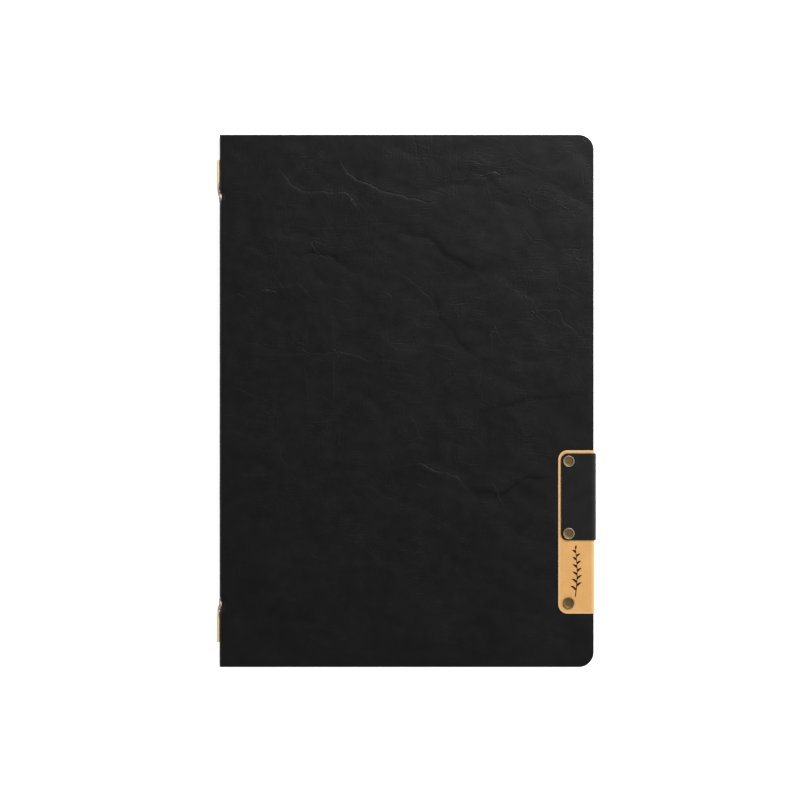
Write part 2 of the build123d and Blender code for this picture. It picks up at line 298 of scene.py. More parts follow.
class Crumple:
    """Height of a crumpled sheet in metres, over its unrolled length u and its height y."""

    STEP = 0.5 * MM
    LENGTH = 232 * MM
    # How far from a line, in millimetres, its fine relief begins to fade and where it is gone
    FADES = {"crest": (1.0, 3.0), "fold": (2.0, 11.0), "fine": (0.8, 2.4)}

    def __init__(self, seed, creases, streaks):
        self.rng = np.random.default_rng(seed)
        self.u = np.arange(0, self.LENGTH, self.STEP)
        self.y = np.arange(-HALF_H - 2 * MM, HALF_H + 2 * MM, self.STEP)
        self.shape = (len(self.y), len(self.u))
        grid_u, grid_y = np.meshgrid(self.u, self.y)
        slow = [self.noise(18, 18), self.noise(18, 18), self.noise(4, 4), self.noise(4, 4)]
        self.warped_u = grid_u + (1.0 * slow[0] + 0.16 * slow[2]) * MM
        self.warped_y = grid_y + (1.0 * slow[1] + 0.16 * slow[3]) * MM
        self.height = np.zeros(self.shape)
        far = 12.0
        self.lines = {kind: [np.full(self.shape, far), np.zeros(self.shape)] for kind in self.FADES}
        for strength, easy, points in creases:
            kind, narrow = ("crest", 0.8 * MM) if strength > 0 else ("fold", 1.1 * MM)
            self.crease(np.array(points, float) * MM, strength, kind, narrow, easy * MM)
        for _ in range(streaks):
            self.random_crease()
        for kind, (distance, power) in self.lines.items():
            power *= 1 - step_between(np.abs(distance), *self.FADES[kind])
        self.add_swells()

    def noise(self, long_u, long_y, sharp=1.5):
        return smooth_noise(self.rng, self.shape, self.STEP, long_u * MM, long_y * MM, sharp)

    def crease(self, points, strength, kind, narrow, wide):
        """A crest along a broken line, or a fold where strength is below zero.

        It is steep on the side that narrow gives a width to, and easy on the other. Its signed
        distance and strength, in millimetres, are kept for the material's fine relief.
        """
        reach = 3.0 * wide
        low, high = points.min(0) - reach, points.max(0) + reach
        cols = slice(*np.searchsorted(self.u, [low[0], high[0]]))
        rows = slice(*np.searchsorted(self.y, [low[1], high[1]]))
        u, y = self.warped_u[rows, cols], self.warped_y[rows, cols]
        if u.size == 0:
            return
        best = np.full(u.shape, 1.0)
        offset, share = np.zeros(u.shape), np.zeros(u.shape)
        lengths = np.hypot(*np.diff(points, axis=0).T)
        total = lengths.sum()
        gone = 0.0
        for a, b, length in zip(points, points[1:], lengths):
            along = (b - a) / length
            t = np.clip((u - a[0]) * along[0] + (y - a[1]) * along[1], 0, length)
            away = np.hypot(u - a[0] - t * along[0], y - a[1] - t * along[1])
            side = (u - a[0]) * -along[1] + (y - a[1]) * along[0]
            nearer = away < best
            best = np.where(nearer, away, best)
            offset = np.where(nearer, side, offset)
            share = np.where(nearer, (gone + t) / total, share)
            gone += length
        fade = np.sqrt(np.clip(np.sin(math.pi * np.clip(share, 0, 1)), 0, 1))
        width = np.where(offset > 0, narrow, wide)
        self.height[rows, cols] += strength * MM * fade * np.exp(-best / width)
        distance, power = (field[rows, cols] for field in self.lines[kind])
        nearer = best / MM < np.abs(distance)
        distance[nearer] = np.copysign(best / MM, offset)[nearer]
        power[nearer] = (strength * fade)[nearer]

    def random_crease(self):
        rng = self.rng
        at = np.array([rng.uniform(0, self.LENGTH), rng.uniform(-HALF_H, HALF_H)])
        lean = rng.choice([0.0, math.radians(-30), math.radians(90)], p=[0.55, 0.25, 0.2])
        angle = lean + rng.normal(0, 0.22) + rng.choice([0, math.pi])
        points = [at]
        for _ in range(rng.integers(2, 6)):
            angle += rng.normal(0, 0.32)
            at = at + rng.uniform(1.2, 6.0) * MM * np.array([math.cos(angle), math.sin(angle)])
            points.append(at)
        low_down = (points[0][1] + HALF_H) / (2 * HALF_H)
        strength = rng.choice([-1, 1], p=[0.4, 0.6]) * rng.lognormal(-3.25, 0.55)
        strength *= 0.55 + 0.6 * low_down
        self.crease(
            np.array(points), strength, "fine", rng.uniform(0.4, 0.8) * MM, rng.uniform(1.2, 3.0) * MM
        )

    def add_swells(self):
        """Broad facets that meet in soft folds, and fine wrinkles that come and go."""
        facets = 0.12 * np.abs(self.noise(46, 34)) - 0.05 * np.abs(self.noise(24, 16))
        patches = np.clip(0.3 + 0.6 * self.noise(26, 18), 0, 1.5)
        fine = np.abs(self.noise(9, 4, 1.2))
        self.height += (facets + patches * 0.012 * fine) * MM

    def sample(self, field, u, y):
        """Values of a field between its grid points."""
        fu = np.clip((u - self.u[0]) / self.STEP, 0, len(self.u) - 1.001)
        fy = np.clip((y - self.y[0]) / self.STEP, 0, len(self.y) - 1.001)
        iu, iy = fu.astype(int), fy.astype(int)
        du, dy = fu - iu, fy - iy
        low = field[iy, iu] * (1 - du) + field[iy, iu + 1] * du
        high = field[iy + 1, iu] * (1 - du) + field[iy + 1, iu + 1] * du
        return low * (1 - dy) + high * dy


def step_between(value, low, high):
    """0 below low, 1 above high, and smooth between."""
    t = np.clip((value - low) / (high - low), 0, 1)
    return t * t * (3 - 2 * t)


# Main creases of the front cover: height, width of the easy side, and the line, in millimetres
# from the cover's middle. The steep side is on the left of the line's direction. A height above
# zero is a crest, and one below zero is a fold that stays in shade.
FRONT_CREASES = [
    (0.13, 5, [(-79, 140), (-70, 132), (-63, 126), (-50, 125), (-36, 124), (-26, 114)]),
    (0.17, 8, [(-43, 147), (-36, 136), (-22, 128), (-6, 124), (6, 121), (20, 118)]),
    (0.09, 5, [(-84, 80), (-75, 68), (-64, 72), (-58, 63), (-49, 60)]),
    (0.09, 5, [(-91, 26), (-73, 29), (-58, 29), (-43, 31), (-22, 25), (8, 23)]),
    (0.05, 4, [(-49, 106), (-25, 105), (-13, 109)]),
    (0.08, 4, [(-9, 82), (5, 70), (14, 64), (17, 49)]),
    (0.10, 6, [(77, 55), (92, 54), (101, 43), (110, 32)]),
    (0.14, 8, [(-2, -40), (8, -39), (23, -43), (38, -52)]),
    (0.07, 4, [(-112, 8), (-97, 5), (-82, 3)]),
    (0.07, 4, [(-103, -42), (-79, -45)]),
    (0.06, 4, [(-31, -48), (-16, -54), (-1, -60)]),
    (0.05, 4, [(-12, 152), (6, 146), (24, 148)]),
    (-0.22, 8, [(-15, 97), (-1, 101), (11, 98), (29, 85), (46, 79), (54, 68)]),
    (-0.30, 7, [(-70, 90), (-46, 88), (-34, 81)]),
    (-0.20, 5, [(25, 142), (35, 141), (46, 136), (61, 125)]),
    (-0.18, 6, [(16, 70), (20, 49), (29, 37), (44, 25), (54, 25)]),
    (0.06, 5, [(42, -12), (45, 1), (44, 22)]),
    (-0.20, 7, [(42, -6), (59, -1), (77, 2), (110, 2)]),
    (-0.30, 7, [(38, -52), (52, -57), (71, -49), (89, -46)]),
    (0.07, 3, [(-59, 49), (-60, 20), (-58, -8)]),
    (0.07, 3, [(-42, 60), (-43, 30), (-42, -8)]),
    (0.07, 4, [(0, 8), (6, -14), (14, -34)]),
    (0.05, 4, [(62, 148), (74, 140), (84, 138)]),
]
BACK_CREASES = [
    (0.10, 8, [(-70, 120), (-40, 104), (-8, 108), (22, 92)]),
    (0.10, 8, [(104, 8), (84, 24), (52, 30), (30, 60)]),
    (0.08, 6, [(-90, 10), (-60, -8), (-34, -4), (-10, -26)]),
    (0.08, 6, [(44, -120), (36, -92), (10, -60)]),
    (0.07, 5, [(-60, -70), (-30, -84), (4, -80)]),
    (0.06, 5, [(60, 130), (74, 118), (92, 116)]),
]


def on_skin(creases):
    """Creases measured from the cover's middle, moved to the unrolled skin, in millimetres."""
    shift = (PANEL_START + COVER_X - (SPINE_X + FOLD_R)) / MM
    return [(height, side, [(x + shift, y) for x, y in line]) for height, side, line in creases]


def skin_relief(field, label_box=None):
    """Relief of a skin: calm at its edges and on the spine, and pressed flat under the label.

    The skin without a label lies on the table, so its crests are pressed level with its face.
    """

    def relief(u, y):
        calm = 0.35 + 0.65 * step_between(u, PANEL_START, PANEL_START + 12 * MM)
        edge = np.minimum(SKIN_LENGTH - u, HALF_H - np.abs(y))
        calm = calm * (0.3 + 0.7 * step_between(edge, 0, 4 * MM))
        near_eye = np.exp(-(((np.abs(y) - EYE_Y) / EYELET_REACH) ** 4))
        on_fold = step_between(u, 1.4 * MM, 3.0 * MM)
        on_fold = on_fold * (1 - step_between(u, PANEL_START - 0.2 * MM, PANEL_START + 1.8 * MM))
        height = field.sample(field.height, u, y) * calm - EYELET_SEAT * near_eye * on_fold
        if label_box is not None:
            low, high = label_box
            x = u - PANEL_START + SPINE_X + FOLD_R
            out = np.maximum.reduce([low.x - x, low.y - y, y - high.y])
            free = step_between(out, -0.2 * MM, 3 * MM)
            height = height * free - 0.03 * MM * (1 - free)
            calm = calm * free
        else:
            height = np.minimum(height - BACK_PRESS, 0)
        lines = {}
        for kind, (distance, power) in field.lines.items():
            away = field.sample(distance, u, y)
            lines[f"{kind}_line"] = np.stack([away, field.sample(power, u, y) * calm, 0 * away], -1)
        return height, 0 * u, lines

    return relief


def bend_at_fold(piece, side):
    """Bakes a piece's place into its mesh, the same way for the front half and the back half.
    """
    if side > 0:
        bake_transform(piece)
    else:
        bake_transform(piece)


def cover_skin(name, side, field, step, label_box, replaced):
    """Half of the leather: a panel, its fold and half of the spine, in one sheet."""
    path = Path((SPINE_X, MID_Z), 90 * side, SPINE_HALF, (FOLD_R, -90 * side), PANEL_LENGTH)
    bevel = 0.16 * MM
    rows = rows_between(-HALF_H, HALF_H, step, CORNER_R, bevel)
    columns = columns_along(
        0, 0.6 * MM, SPINE_HALF, 0.35 * MM, PANEL_START, step, SKIN_LENGTH, bevel_high=bevel
    )
    piece = bent_sheet(
        name, path, side, SKIN, cover_leather, rows, columns, bevel,
        inset_high=corner_inset(rows, -HALF_H, HALF_H, CORNER_R), reach_high=2 * CORNER_R,
        seam_low=True, relief=skin_relief(field, label_box), coarse_from=PANEL_START + 1.5 * MM,
    )
    bend_at_fold(piece, side)
    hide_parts(*replaced)


def fold_lining(name, side):
    """The lining's strip inside a fold, curved round it."""
    path = Path((SPINE_X + SKIN, MID_Z + side * SPINE_HALF), 90 * side, (FOLD_INNER_R, -90 * side))
    rows = rows_between(-HALF_H, HALF_H, 8 * MM, 0, 0.05 * MM)
    columns = columns_along(0, 0.1 * MM, path.length)
    piece = bent_sheet(name, path, side, LINING, lining_cloth, rows, columns, 0.03 * MM)
    bend_at_fold(piece, side)
    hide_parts(name)


# ------------------------------------ materials

def grey(value):
    return (value, value, value, 1)


def scaled(colour, by=1.0):
    """A colour made darker or lighter, with full alpha."""
    return tuple(c * by for c in colour) + (1,)


class Shading:
    """A new material, with short ways to add its nodes and to set its Principled shader."""

    def __init__(self, name):
        self.material = bpy.data.materials.new(name)
        self.material.use_nodes = True
        self.tree = self.material.node_tree

    def add(self, kind, **settings):
        """A node with some of its inputs and properties set."""
        node = self.tree.nodes.new("ShaderNode" + kind)
        for key, value in settings.items():
            if key in node.inputs:
                node.inputs[key].default_value = value
            else:
                setattr(node, key, value)
        return node

    def feed(self, socket, value):
        """Links a socket to another one, or gives it a plain value."""
        if isinstance(value, bpy.types.NodeSocket):
            self.tree.links.new(value, socket)
        else:
            socket.default_value = value

    def attribute(self, name, output="Fac"):
        return self.add("Attribute", attribute_name=name).outputs[output]

    def place(self, attribute=None, scale=(1, 1, 1)):
        """Texture coordinates from a stored attribute, or from the object where none is named."""
        if attribute:
            source = self.attribute(attribute, "Vector")
        else:
            source = self.add("TexCoord").outputs["Object"]
        mapping = self.add("Mapping", Scale=scale)
        self.feed(mapping.inputs["Vector"], source)
        return mapping.outputs["Vector"]

    def noise(self, where, scale, detail, roughness=0.6):
        texture = self.add("TexNoise", Scale=scale, Detail=detail, Roughness=roughness)
        self.feed(texture.inputs["Vector"], where)
        return texture.outputs["Fac"]

    def pores(self, where, scale):
        """Distance to the nearest of many scattered points."""
        texture = self.add("TexVoronoi", Scale=scale, feature="F1")
        self.feed(texture.inputs["Vector"], where)
        return texture.outputs["Distance"]

    def ramp(self, source, *stops):
        """Colours between places on a scale from 0 to 1."""
        node = self.add("ValToRGB")
        band = node.color_ramp
        band.elements[0].position, band.elements[0].color = stops[0]
        band.elements[1].position, band.elements[1].color = stops[-1]
        for position, colour in stops[1:-1]:
            band.elements.new(position).color = colour
        self.feed(node.inputs["Fac"], source)
        return node.outputs["Color"]

    def mix(self, factor, first, second, kind="MIX"):
        """Two colours mixed: 0, 6 and 7 are the node's sockets for a factor and two colours."""
        node = self.add("Mix", data_type="RGBA", blend_type=kind)
        for number, value in ((0, factor), (6, first), (7, second)):
            self.feed(node.inputs[number], value)
        return node.outputs[2]

    def maths(self, operation, *values, clamp=False):
        node = self.add("Math", operation=operation, use_clamp=clamp)
        for socket, value in zip(node.inputs, values):
            self.feed(socket, value)
        return node.outputs[0]

    def line_height(self, attribute, width, easy_share):
        """Height in millimetres along each line: steep on one side, easier by a share on the other."""
        parts = self.add("SeparateXYZ")
        self.feed(parts.inputs[0], self.attribute(attribute, "Vector"))
        easy = self.maths("MULTIPLY", parts.outputs["X"], -easy_share)
        away = self.maths("MAXIMUM", parts.outputs["X"], easy)
        fall = self.maths("EXPONENT", self.maths("MULTIPLY", away, -1 / width))
        return self.maths("MULTIPLY", fall, parts.outputs["Y"])

    def threads(self, scale, mask_scale, seed):
        """Thin broken lines: where a stretched noise crosses its middle, and only in some places."""
        field = self.add("TexNoise", noise_dimensions="4D", Scale=1.0, Detail=1.5, Roughness=0.5,
                         Distortion=0.5, W=seed)
        self.feed(field.inputs["Vector"], self.place("rest", scale))
        line = self.ramp(field.outputs["Fac"], (0.46, grey(0)), (0.5, grey(1)), (0.525, grey(0)))
        mask = self.noise(self.place("rest"), mask_scale, 2, 0.5)
        mask = self.ramp(mask, (0.46, grey(0)), (0.62, grey(1)))
        return self.mix(1.0, line, mask, "MULTIPLY")

    def finish(self, colour, roughness, specular, *heights):
        """Sets the shader, with a chain of bumps from (height, distance in metres, strength)."""
        inputs = self.tree.nodes["Principled BSDF"].inputs
        self.feed(inputs["Base Color"], colour)
        self.feed(inputs["Roughness"], roughness)
        inputs["Specular IOR Level"].default_value = specular
        normal = None
        for height, distance, strength in heights:
            node = self.add("Bump", Distance=distance, Strength=strength)
            self.feed(node.inputs["Height"], height)
            if normal is not None:
                self.feed(node.inputs["Normal"], normal)
            normal = node.outputs["Normal"]
        if normal is not None:
            self.feed(inputs["Normal"], normal)
        return self.material


def black_leather(name, base, rough_low, rough_high, crumpled):
    """Black leather with a fine grain, crests painted lighter for wear and as a painted highlight, and
    painted shade in its folds.
    """
    s = Shading(name)
    where = s.place("rest")
    blotches = s.noise(where, 140, 4)
    colour = s.ramp(s.noise(where, 28, 5), (0.3, scaled(base, 0.72)), (0.72, scaled(base, 1.3)))
    heights = [(s.pores(where, 1900), 0.02 * MM, 0.25), (s.noise(where, 2600, 4), 0.03 * MM, 0.25)]
    if crumpled:
        fine_crest = s.line_height("fine_line", 0.35, 0.45)
        main_crest = s.line_height("crest_line", 0.45, 0.45)
        fold_side = s.line_height("fold_line", 0.8, 0.1)
        # Wear with a painted highlight: near the crest lines the colour is painted lighter, below.
        wear_and_highlight = s.maths("MULTIPLY", s.maths("ADD", fine_crest, main_crest), 5.0, clamp=True)
        # Painted shade: along the folds the colour is darkened towards 0.3 of the base.
        shade = s.maths("MULTIPLY", s.line_height("fold_line", 0.7, 0.8), -5.0, clamp=True)
        colour = s.mix(shade, colour, scaled(base, 0.3))
        heights += [
            (s.threads((70, 420, 400), 45, 2.0), 0.05 * MM, 0.6),
            (s.threads((420, 90, 400), 38, 9.0), 0.05 * MM, 0.5),
            (fine_crest, MM, 1.0), (main_crest, MM, 1.0), (fold_side, MM, 0.25),
        ]
        least, most = 0.15, 0.9
    else:
        # On the patch the stored value paints its fold lighter: wear with a painted highlight.
        wear_and_highlight = s.attribute("wear_and_highlight")
        least, most = 0.6, 1.0
    patchy = s.ramp(blotches, (0.35, grey(least)), (0.65, grey(most)))
    # Painted lighter towards 2.6 times the base where wear and a painted highlight are marked.
    colour = s.mix(s.maths("MULTIPLY", wear_and_highlight, patchy, clamp=True), colour, scaled(base, 2.6))
    roughness = s.ramp(blotches, (0.3, grey(rough_low)), (0.7, grey(rough_high)))
    return s.finish(colour, roughness, 0.2, *heights)


def tan_leather(name, base, edge_highlight, roughness, highlight_width):
    """Vegetable-tanned leather: clouded tan, pores, and a paler rim that is a painted highlight along
    its edges, with wear and a painted highlight along its fold.
    """
    s = Shading(name)
    where = s.place("rest")
    fibres = s.noise(s.place("rest", (900, 2600, 900)), 1.0, 4, 0.65)
    colour = s.ramp(s.noise(where, 90, 5), (0.3, scaled(base, 0.93)), (0.7, scaled(base, 1.06)))
    speck = s.ramp(fibres, (0.35, grey(0.93)), (0.6, grey(1.0)))
    colour = s.mix(1.0, colour, speck, "MULTIPLY")
    # Painted highlight: the colour turns paler within the given width of the edges, where light catches
    # the bevel.
    near = s.add("MapRange", interpolation_type="SMOOTHSTEP", **{
        "From Min": 0.2 * highlight_width, "From Max": highlight_width, "To Min": 1.0, "To Max": 0.0,
    })
    s.feed(near.inputs["Value"], s.attribute("edge"))
    highlight_and_wear = s.maths("MAXIMUM", near.outputs["Result"], s.attribute("wear_and_highlight"), clamp=True)
    colour = s.mix(highlight_and_wear, colour, scaled(edge_highlight))
    pores = s.pores(where, 2300)
    return s.finish(colour, roughness, 0.3, (pores, 0.03 * MM, 0.3), (fibres, 0.05 * MM, 0.35))


def antique_brass(name, dark, bright):
    """Brass with dark patina in its hollows, and bare metal on what stands out."""
    s = Shading(name)
    patina = s.noise(s.place(), 900, 5, 0.65)
    bare = s.maths("MULTIPLY_ADD", patina, 0.35, s.attribute("polish"), clamp=True)
    colour = s.ramp(bare, (0.15, scaled(dark)), (0.95, scaled(bright)))
    rough = s.ramp(bare, (0.1, grey(0.6)), (0.95, grey(0.5)))
    s.tree.nodes["Principled BSDF"].inputs["Metallic"].default_value = 1.0
    return s.finish(colour, rough, 0.5, (patina, 0.03 * MM, 0.4))


def woven_cloth(name, base):
    """Book cloth: a fine plain weave, with clouds of lighter and darker threads."""
    s = Shading(name)
    where = s.place()
    waves = []
    for direction in ("X", "Y"):
        wave = s.add("TexWave", bands_direction=direction, Scale=420.0, Distortion=0.6, Detail=1.0)
        s.feed(wave.inputs["Vector"], where)
        waves.append(wave.outputs["Color"])
    threads = s.mix(0.5, *waves)
    dark, light = scaled(base, 0.6), scaled(base, 1.3)
    clouds = s.ramp(s.noise(where, 60, 4), (0.3, dark), (0.7, light))
    colour = s.mix(0.5, s.ramp(threads, (0.2, dark), (0.8, light)), clouds)
    return s.finish(colour, 0.8, 0.2, (threads, 0.08 * MM, 0.5))


def fibrous(name, base, scale, roughness, strength, attribute=None):
    """Paper or board: flat fibres with faint specks."""
    s = Shading(name)
    where = s.place(attribute)
    fibres = s.noise(where, scale, 6, 0.7)
    colour = s.ramp(fibres, (0.35, scaled(base, 1 - strength)), (0.6, scaled(base)))
    shade = s.ramp(s.noise(where, 40, 4), (0.3, grey(1 - 0.4 * strength)), (0.7, grey(1.0)))
    colour = s.mix(1.0, colour, shade, "MULTIPLY")
    return s.finish(colour, roughness, 0.15, (fibres, 0.03 * MM, 0.35))


def burnt(name):
    """Brown-black of a mark burnt into leather."""
    s = Shading(name)
    char = s.noise(s.place(), 1500, 5, 0.7)
    colour = s.ramp(char, (0.3, (0.010, 0.004, 0.002, 1)), (0.7, (0.035, 0.013, 0.005, 1)))
    return s.finish(colour, 0.85, 0.1, (char, 0.03 * MM, 0.5))


def pale_floor():
    """White paint that gives off some light of its own, so that it stays white round the cover."""
    s = Shading("floor_paint")
    colour = s.ramp(s.noise(s.place(), 3, 2, 0.5), (0.3, grey(0.93)), (0.7, grey(0.95)))
    inputs = s.tree.nodes["Principled BSDF"].inputs
    inputs["Emission Color"].default_value = grey(1)
    inputs["Emission Strength"].default_value = 0.75
    return s.finish(colour, 0.9, 0.0)


cover_leather = black_leather("cover_leather", (0.0042, 0.0042, 0.0042), 0.40, 0.48, True)
patch_leather = black_leather("patch_leather", (0.0068, 0.0066, 0.0068), 0.42, 0.52, False)
label_leather = tan_leather("label_leather", (0.64, 0.345, 0.115), (0.68, 0.44, 0.21), 0.6, 1.5 * MM)
strap_leather = tan_leather("strap_leather", (0.80, 0.59, 0.37), (0.84, 0.66, 0.46), 0.65, 0.5 * MM)
lining_cloth = woven_cloth("lining_cloth", (0.02, 0.0195, 0.019))
board_stock = fibrous("board_stock", (0.05, 0.045, 0.04), 1800, 0.85, 0.4)
paper_stock = fibrous("paper_stock", (0.84, 0.82, 0.76), 900, 0.75, 0.05, "rest")
rivet_brass = antique_brass("rivet_brass", (0.15, 0.10, 0.034), (0.33, 0.26, 0.20))
eyelet_brass = antique_brass("eyelet_brass", (0.26, 0.23, 0.20), (0.42, 0.38, 0.34))
burnt_mark = burnt("burnt_mark")


# ------------------------------------ cover

front_field = Crumple(7, on_skin(FRONT_CREASES), 620)
back_field = Crumple(23, on_skin(BACK_CREASES), 420)
cover_skin(
    "front_half_skin", 1, front_field, 0.92 * MM, (LABEL_LOW, LABEL_HIGH),
    ["front_skin", "front_fold", "spine_skin"],
)
cover_skin(
    "back_half_skin", -1, back_field, 1.15 * MM, None, ["back_skin", "back_fold"]
)
fold_lining("front_fold_lining", 1)
fold_lining("back_fold_lining", -1)


# ------------------------------------ label, patch and its mark

def wrap(name, low, high, corner, bend, thickness, material, seed, unevenness):
    """A strip of leather bent round the front panel's fore-edge."""
    flap = high.x - low.x - bend
    drop = high.z - low.z - 2 * bend
    path = Path((low.x, high.z), 0, flap, (bend, -90), drop, (bend, -90), flap)
    bevel = 0.22 * MM
    rows = rows_between(low.y, high.y, 0.8 * MM, corner, bevel)
    marks = [0, flap - 2 * MM, flap, flap + bend * math.pi / 2]
    columns = columns_along(
        marks[0], 0.7 * MM, marks[1], 0.35 * MM, marks[2], 0.2 * MM, marks[3], 0.3 * MM,
        path.length - marks[3], 0.2 * MM, path.length - marks[2], 0.35 * MM,
        path.length - marks[1], 0.7 * MM, path.length, bevel_low=bevel, bevel_high=bevel,
    )
    inset = corner_inset(rows, low.y, high.y, corner)
    piece = bent_sheet(
        name, path, 1, thickness, material, rows, columns, bevel, inset_low=inset, inset_high=inset,
        reach_low=1.3 * corner, reach_high=1.3 * corner, relief=soft_relief(seed, unevenness, flap),
    )
    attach(piece, "front_cover")
    return piece


def soft_relief(seed, amount, fold_at):
    """A slight unevenness, as of a strip cut from a hide, and wear with a painted highlight along its
    fold.
    """
    rng = np.random.default_rng(seed)
    waves = [(rng.uniform(150, 600), rng.uniform(150, 600), rng.uniform(0, 6.3)) for _ in range(6)]

    def relief(u, y):
        height = sum(np.sin(ku * u + ky * y + phase) for ku, ky, phase in waves) / 6
        # The second value paints the fold lighter in the material: wear with a painted highlight.
        return amount * height, step_between(u, fold_at - 1.6 * MM, fold_at + 0.5 * MM), {}

    return relief


LABEL_THICKNESS = LABEL_HIGH.z - TOP_Z
PATCH_THICKNESS = PATCH_HIGH.z - LABEL_HIGH.z
label = wrap(
    "label_wrap", LABEL_LOW, LABEL_HIGH, LABEL_CORNER_R, 1.3 * MM, LABEL_THICKNESS,
    label_leather, 3, 0.012 * MM,
)
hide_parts("edge_label")
patch = wrap(
    "patch_wrap", PATCH_LOW, PATCH_HIGH, PATCH_CORNER_R, 1.8 * MM, PATCH_THICKNESS,
    patch_leather, 5, 0.02 * MM,
)
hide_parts("edge_patch")


def sprig():
    """A leafy sprig burnt into the label below the patch."""
    points, faces = [], []
    top, bottom = LABEL_HIGH.z + 0.04 * MM, LABEL_HIGH.z - 0.06 * MM
    foot = Vector((SPINE_X + 213.9 * MM, LABEL_LOW.y + 10.2 * MM))
    tall = 28.5 * MM

    def add(line, widths, top=top):
        """A flat bar along a line of points, with its own width at each point."""
        line = np.array(line, float)
        along = np.gradient(line, axis=0)
        along /= np.hypot(*along.T)[:, None]
        across = np.stack([-along[:, 1], along[:, 0]], 1) * (np.array(widths)[:, None] / 2)
        first = len(points)
        for left, right in zip(line + across, line - across):
            points.extend([(*left, top), (*right, top), (*right, bottom), (*left, bottom)])
        for k in range(first, first + 4 * (len(line) - 1), 4):
            faces.extend((k + j, k + (j + 1) % 4, k + 4 + (j + 1) % 4, k + 4 + j) for j in range(4))
        faces.append((first + 3, first + 2, first + 1, first))
        faces.append(tuple(len(points) - 4 + j for j in range(4)))

    def stem(t):
        return foot + Vector((0.9 * MM * math.sin(3.4 * t) + 0.4 * MM * t, tall * t))

    t = np.linspace(0, 1, 40)
    add([stem(k) for k in t], 0.62 * MM * (1 - 0.45 * t), top - 0.015 * MM)
    turns = np.linspace(0, 1, 12)
    for number in range(11):
        k = 0.13 + 0.079 * number
        side = 1 if number % 2 else -1
        size = (4.3 - 0.14 * number) * MM
        lean = math.radians(90 - side * 50)
        ahead = Vector((math.cos(lean), math.sin(lean)))
        beside = Vector((-ahead.y, ahead.x)) * side
        line = [stem(k) + ahead * size * a + beside * 0.12 * size * math.sin(math.pi * a) for a in turns]
        add(line, 0.12 * MM + 1.15 * MM * np.sin(math.pi * turns ** 0.85) ** 0.9)
    tip = [stem(1.0) + Vector((0.3 * MM * a, 2.6 * MM * a)) for a in turns]
    add(tip, 0.12 * MM + 0.95 * MM * np.sin(math.pi * turns ** 0.85) ** 0.9)
    piece = mesh_object("label_sprig", points, faces, burnt_mark, smooth=False)
    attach(piece, "front_cover")


sprig()


# ------------------------------------ turned metal pieces

def turned(name, profile, polish, centre, upright, material, body, replaced):
    """A piece turned about an axis through centre. profile holds (radius, distance along it).

    An upright piece is closed by a disc at each end. One along X has a hole, and the last point
    of its profile joins the first.
    """
    around = 72
    points, shine, faces = [], [], []
    for (radius, along), gloss in zip(profile, polish):
        for angle in np.linspace(0, 2 * math.pi, around, endpoint=False):
            a, b = radius * math.cos(angle), radius * math.sin(angle)
            offset = (a, b, along) if upright else (along, a, b)
            points.append([c + o for c, o in zip(centre, offset)])
            shine.append(gloss)
    count = len(profile)
    for k in range(count - 1 if upright else count):
        low, high = k * around, (k + 1) % count * around
        for j in range(around):
            n = (j + 1) % around
            quad = (low + j, low + n, high + n, high + j)
            faces.append(quad[::-1] if upright else quad)
    if upright:
        faces.append(tuple(range(around)))
        faces.append(tuple((count - 1) * around + j for j in range(around))[::-1])
    piece = mesh_object(name, points, faces, material)
    store(piece, "polish", shine)
    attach(piece, body)
    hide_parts(*replaced)


def rivet(place):
    """A rivet's cap and post, and its back cap."""
    low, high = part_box(f"rivet_{place}")
    centre = ((low.x + high.x) / 2, (low.y + high.y) / 2, 0)
    radius = (high.x - low.x) / 2
    seat = PATCH_HIGH.z if place != "lower" else LABEL_HIGH.z
    rise = high.z - seat
    post = 1.4 * MM
    dome = [
        (0.5, 0.54), (0.74, 0.57), (0.78, 0.72), (0.82, 0.94), (0.88, 1.0), (0.95, 0.92),
        (0.985, 0.62), (1.0, 0.25), (0.98, 0.0),
    ]
    profile = [(0.05 * MM, seat + 0.56 * rise)]
    profile += [(out * radius, seat + up * rise) for out, up in dome]
    profile += [(post, seat - 0.01 * MM), (post, low.z + 0.1 * MM), (0.9 * post, low.z)]
    shine = 1.0 if place != "lower" else 0.3
    polish = [shine * p for p in (0, 0.05, 0.1, 0.4, 0.9, 1, 1, 0.8, 0.5, 0.3, 0.3, 0.3, 0.3)]
    turned(f"rivet_{place}_cap", profile, polish, centre, True, rivet_brass,
           "front_cover", [f"rivet_{place}"])
    low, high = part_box(f"rivet_back_{place}")
    profile = [
        (0.05 * MM, high.z), (0.96 * radius, high.z), (radius, high.z - 0.15 * MM),
        (0.98 * radius, low.z + 0.2 * MM), (0.85 * radius, low.z + 0.04 * MM),
        (0.5 * radius, low.z), (0.05 * MM, low.z),
    ]
    polish = [0.3, 0.3, 0.8, 1.0, 0.8, 0.5, 0.4]
    turned(f"rivet_{place}_back", profile, polish, centre, True, rivet_brass,
           "front_cover", [f"rivet_back_{place}"])


for place_name in ("upper", "middle", "lower"):
    rivet(place_name)


